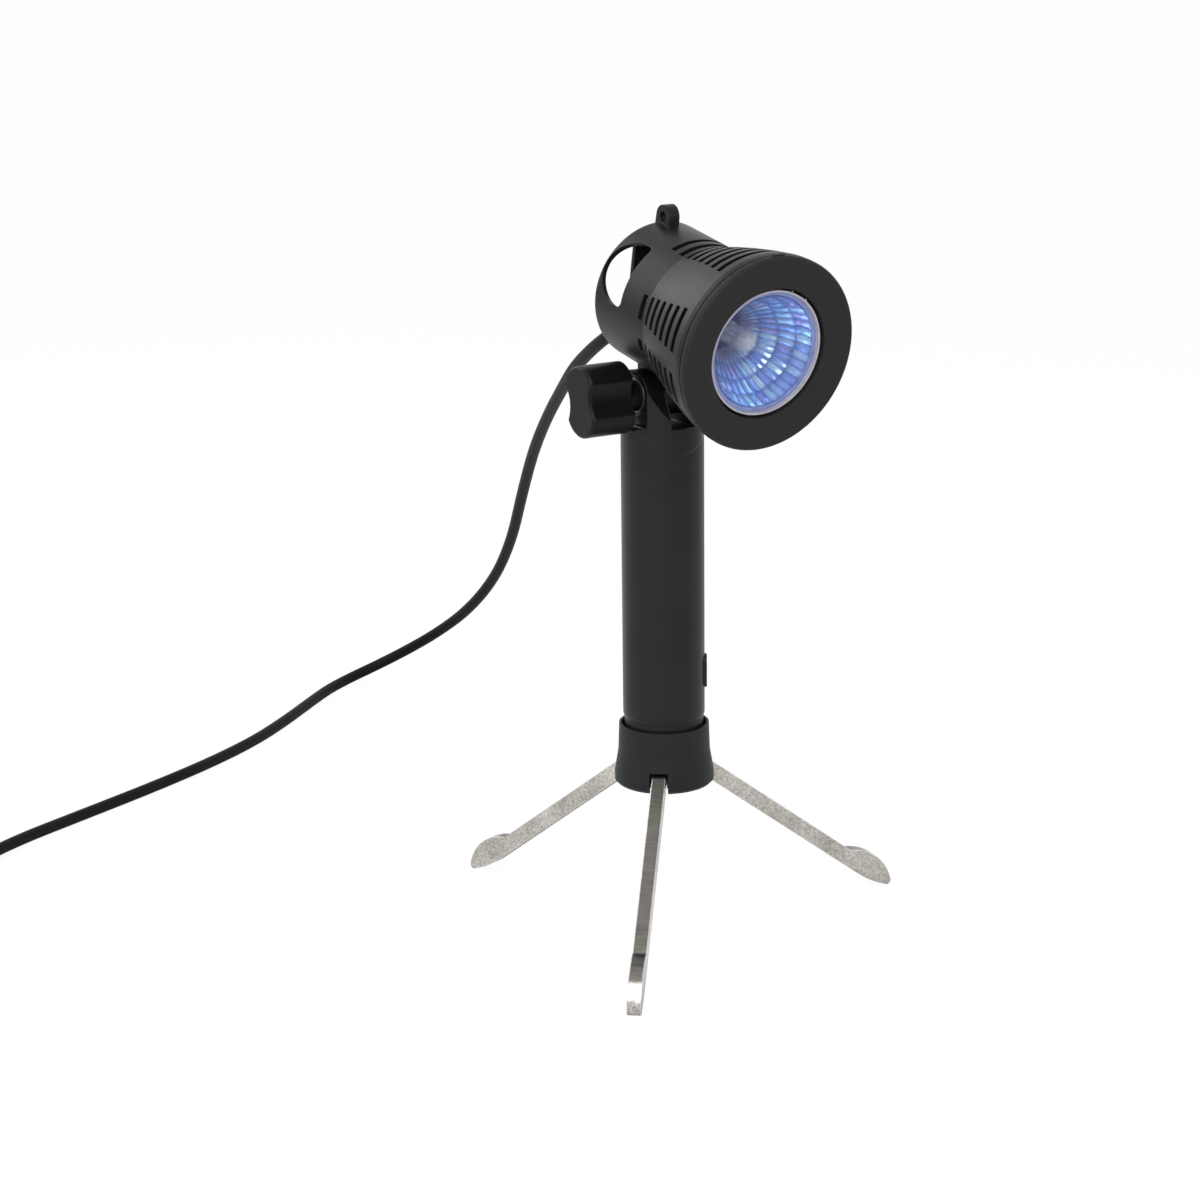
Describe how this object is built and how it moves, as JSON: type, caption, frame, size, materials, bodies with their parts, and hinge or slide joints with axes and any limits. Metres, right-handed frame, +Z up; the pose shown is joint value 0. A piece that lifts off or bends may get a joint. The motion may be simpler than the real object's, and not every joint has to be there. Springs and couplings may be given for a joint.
{
  "type": "tripod spotlight",
  "caption": "Small tabletop spotlight: a vented head with a reflector lamp tilts on a tube post over folding tripod legs, with a mains cord and plug.",
  "frame": {"origin": "on the floor, on the post's axis, at the middle of the three feet", "axes": "+Z up along the post, the head shines towards -Y and 11 degrees down, the clamp knob is on the -X side"},
  "size_m": [0.4058, 0.4778, 0.3073],
  "materials": {
    "head_plastic": "satin black moulded plastic",
    "ring_plastic": "matte black moulded plastic",
    "reflector_glass": "faceted glass with a blue and violet coating",
    "cover_glass": "clear flat glass",
    "quartz": "clear quartz",
    "filament_wire": "dull tungsten wire",
    "ceramic": "unglazed white ceramic",
    "pin_steel": "plated pins",
    "brass": "plain brass",
    "zinc_steel": "zinc plated steel",
    "terminal_plastic": "natural plastic",
    "sleeve": "heat resisting sleeves",
    "knob_plastic": "fine grained black plastic",
    "post_plastic": "smooth black plastic with a soft shine",
    "collar_plastic": "matte black plastic",
    "leg_steel": "nickel plated steel, shiny on the bends",
    "cord_rubber": "smooth black cable sheath",
    "grip_rubber": "soft black rubber",
    "plug_plastic": "moulded black plastic",
    "plug_metal": "nickel plated pins"
  },
  "bodies": {
    "stand": {"post_tube": "post_plastic", "yoke": "post_plastic", "tilt_bolt": "zinc_steel", "tilt_washer": "zinc_steel", "post_plug": "collar_plastic", "swivel_screw": "zinc_steel", "cord_run": "cord_rubber", "cord_coil": "cord_rubber", "cord_tie": "grip_rubber", "cord_tail": "cord_rubber", "plug_body": "plug_plastic", "plug_pins": "plug_metal"},
    "base": {"base_collar": "collar_plastic", "leg_carrier": "collar_plastic", "leg_pins": "zinc_steel"},
    "leg_1": {"leg_1": "leg_steel"},
    "leg_2": {"leg_2": "leg_steel"},
    "leg_3": {"leg_3": "leg_steel"},
    "head": {"head_shell": "head_plastic", "front_ring": "ring_plastic", "lamp_holder": "ceramic", "holder_contacts": "brass", "holder_strap": "zinc_steel", "strap_screws": "zinc_steel", "holder_screws": "zinc_steel", "terminal_block": "terminal_plastic", "terminal_screws": "brass", "lead_wires": "sleeve", "cord_grip": "grip_rubber", "cord_entry": "cord_rubber", "cord_cores": "sleeve"},
    "lamp": {"lamp_reflector": "reflector_glass", "lamp_front_glass": "cover_glass", "lamp_capsule": "quartz", "lamp_filament": "filament_wire", "lamp_base": "ceramic", "lamp_pins": "pin_steel"},
    "knob": {"tilt_knob": "knob_plastic", "knob_insert": "brass"}
  },
  "joints": [
    {"name": "base_swivel", "type": "hinge", "parent": "stand", "child": "base", "pos_m": [0, 0, 0.08032], "axis": [0, 0, 1], "continuous": true},
    {"name": "leg_1_fold", "type": "hinge", "parent": "base", "child": "leg_1", "pos_m": [-0.00707, -0.00843, 0.07222], "axis": [0.766, -0.6428, 0], "range_deg": [0, 53]},
    {"name": "leg_2_fold", "type": "hinge", "parent": "base", "child": "leg_2", "pos_m": [0.01083, -0.00191, 0.07222], "axis": [0.1736, 0.9848, 0], "range_deg": [0, 53]},
    {"name": "leg_3_fold", "type": "hinge", "parent": "base", "child": "leg_3", "pos_m": [-0.00376, 0.01034, 0.07222], "axis": [-0.9397, -0.342, 0], "range_deg": [0, 53]},
    {"name": "head_tilt", "type": "hinge", "parent": "stand", "child": "head", "pos_m": [0, 0, 0.23], "axis": [1, 0, 0], "range_deg": [-60, 50], "deforming": ["cord_run"]},
    {"name": "lamp_twist", "type": "hinge", "parent": "head", "child": "lamp", "pos_m": [0, -0.02697, 0.26551], "axis": [0, -0.9816, -0.1908], "range_deg": [0, 25]},
    {"name": "knob_turn", "type": "hinge", "parent": "stand", "child": "knob", "pos_m": [-0.02, 0, 0.23], "axis": [1, 0, 0], "continuous": true}
  ]
}
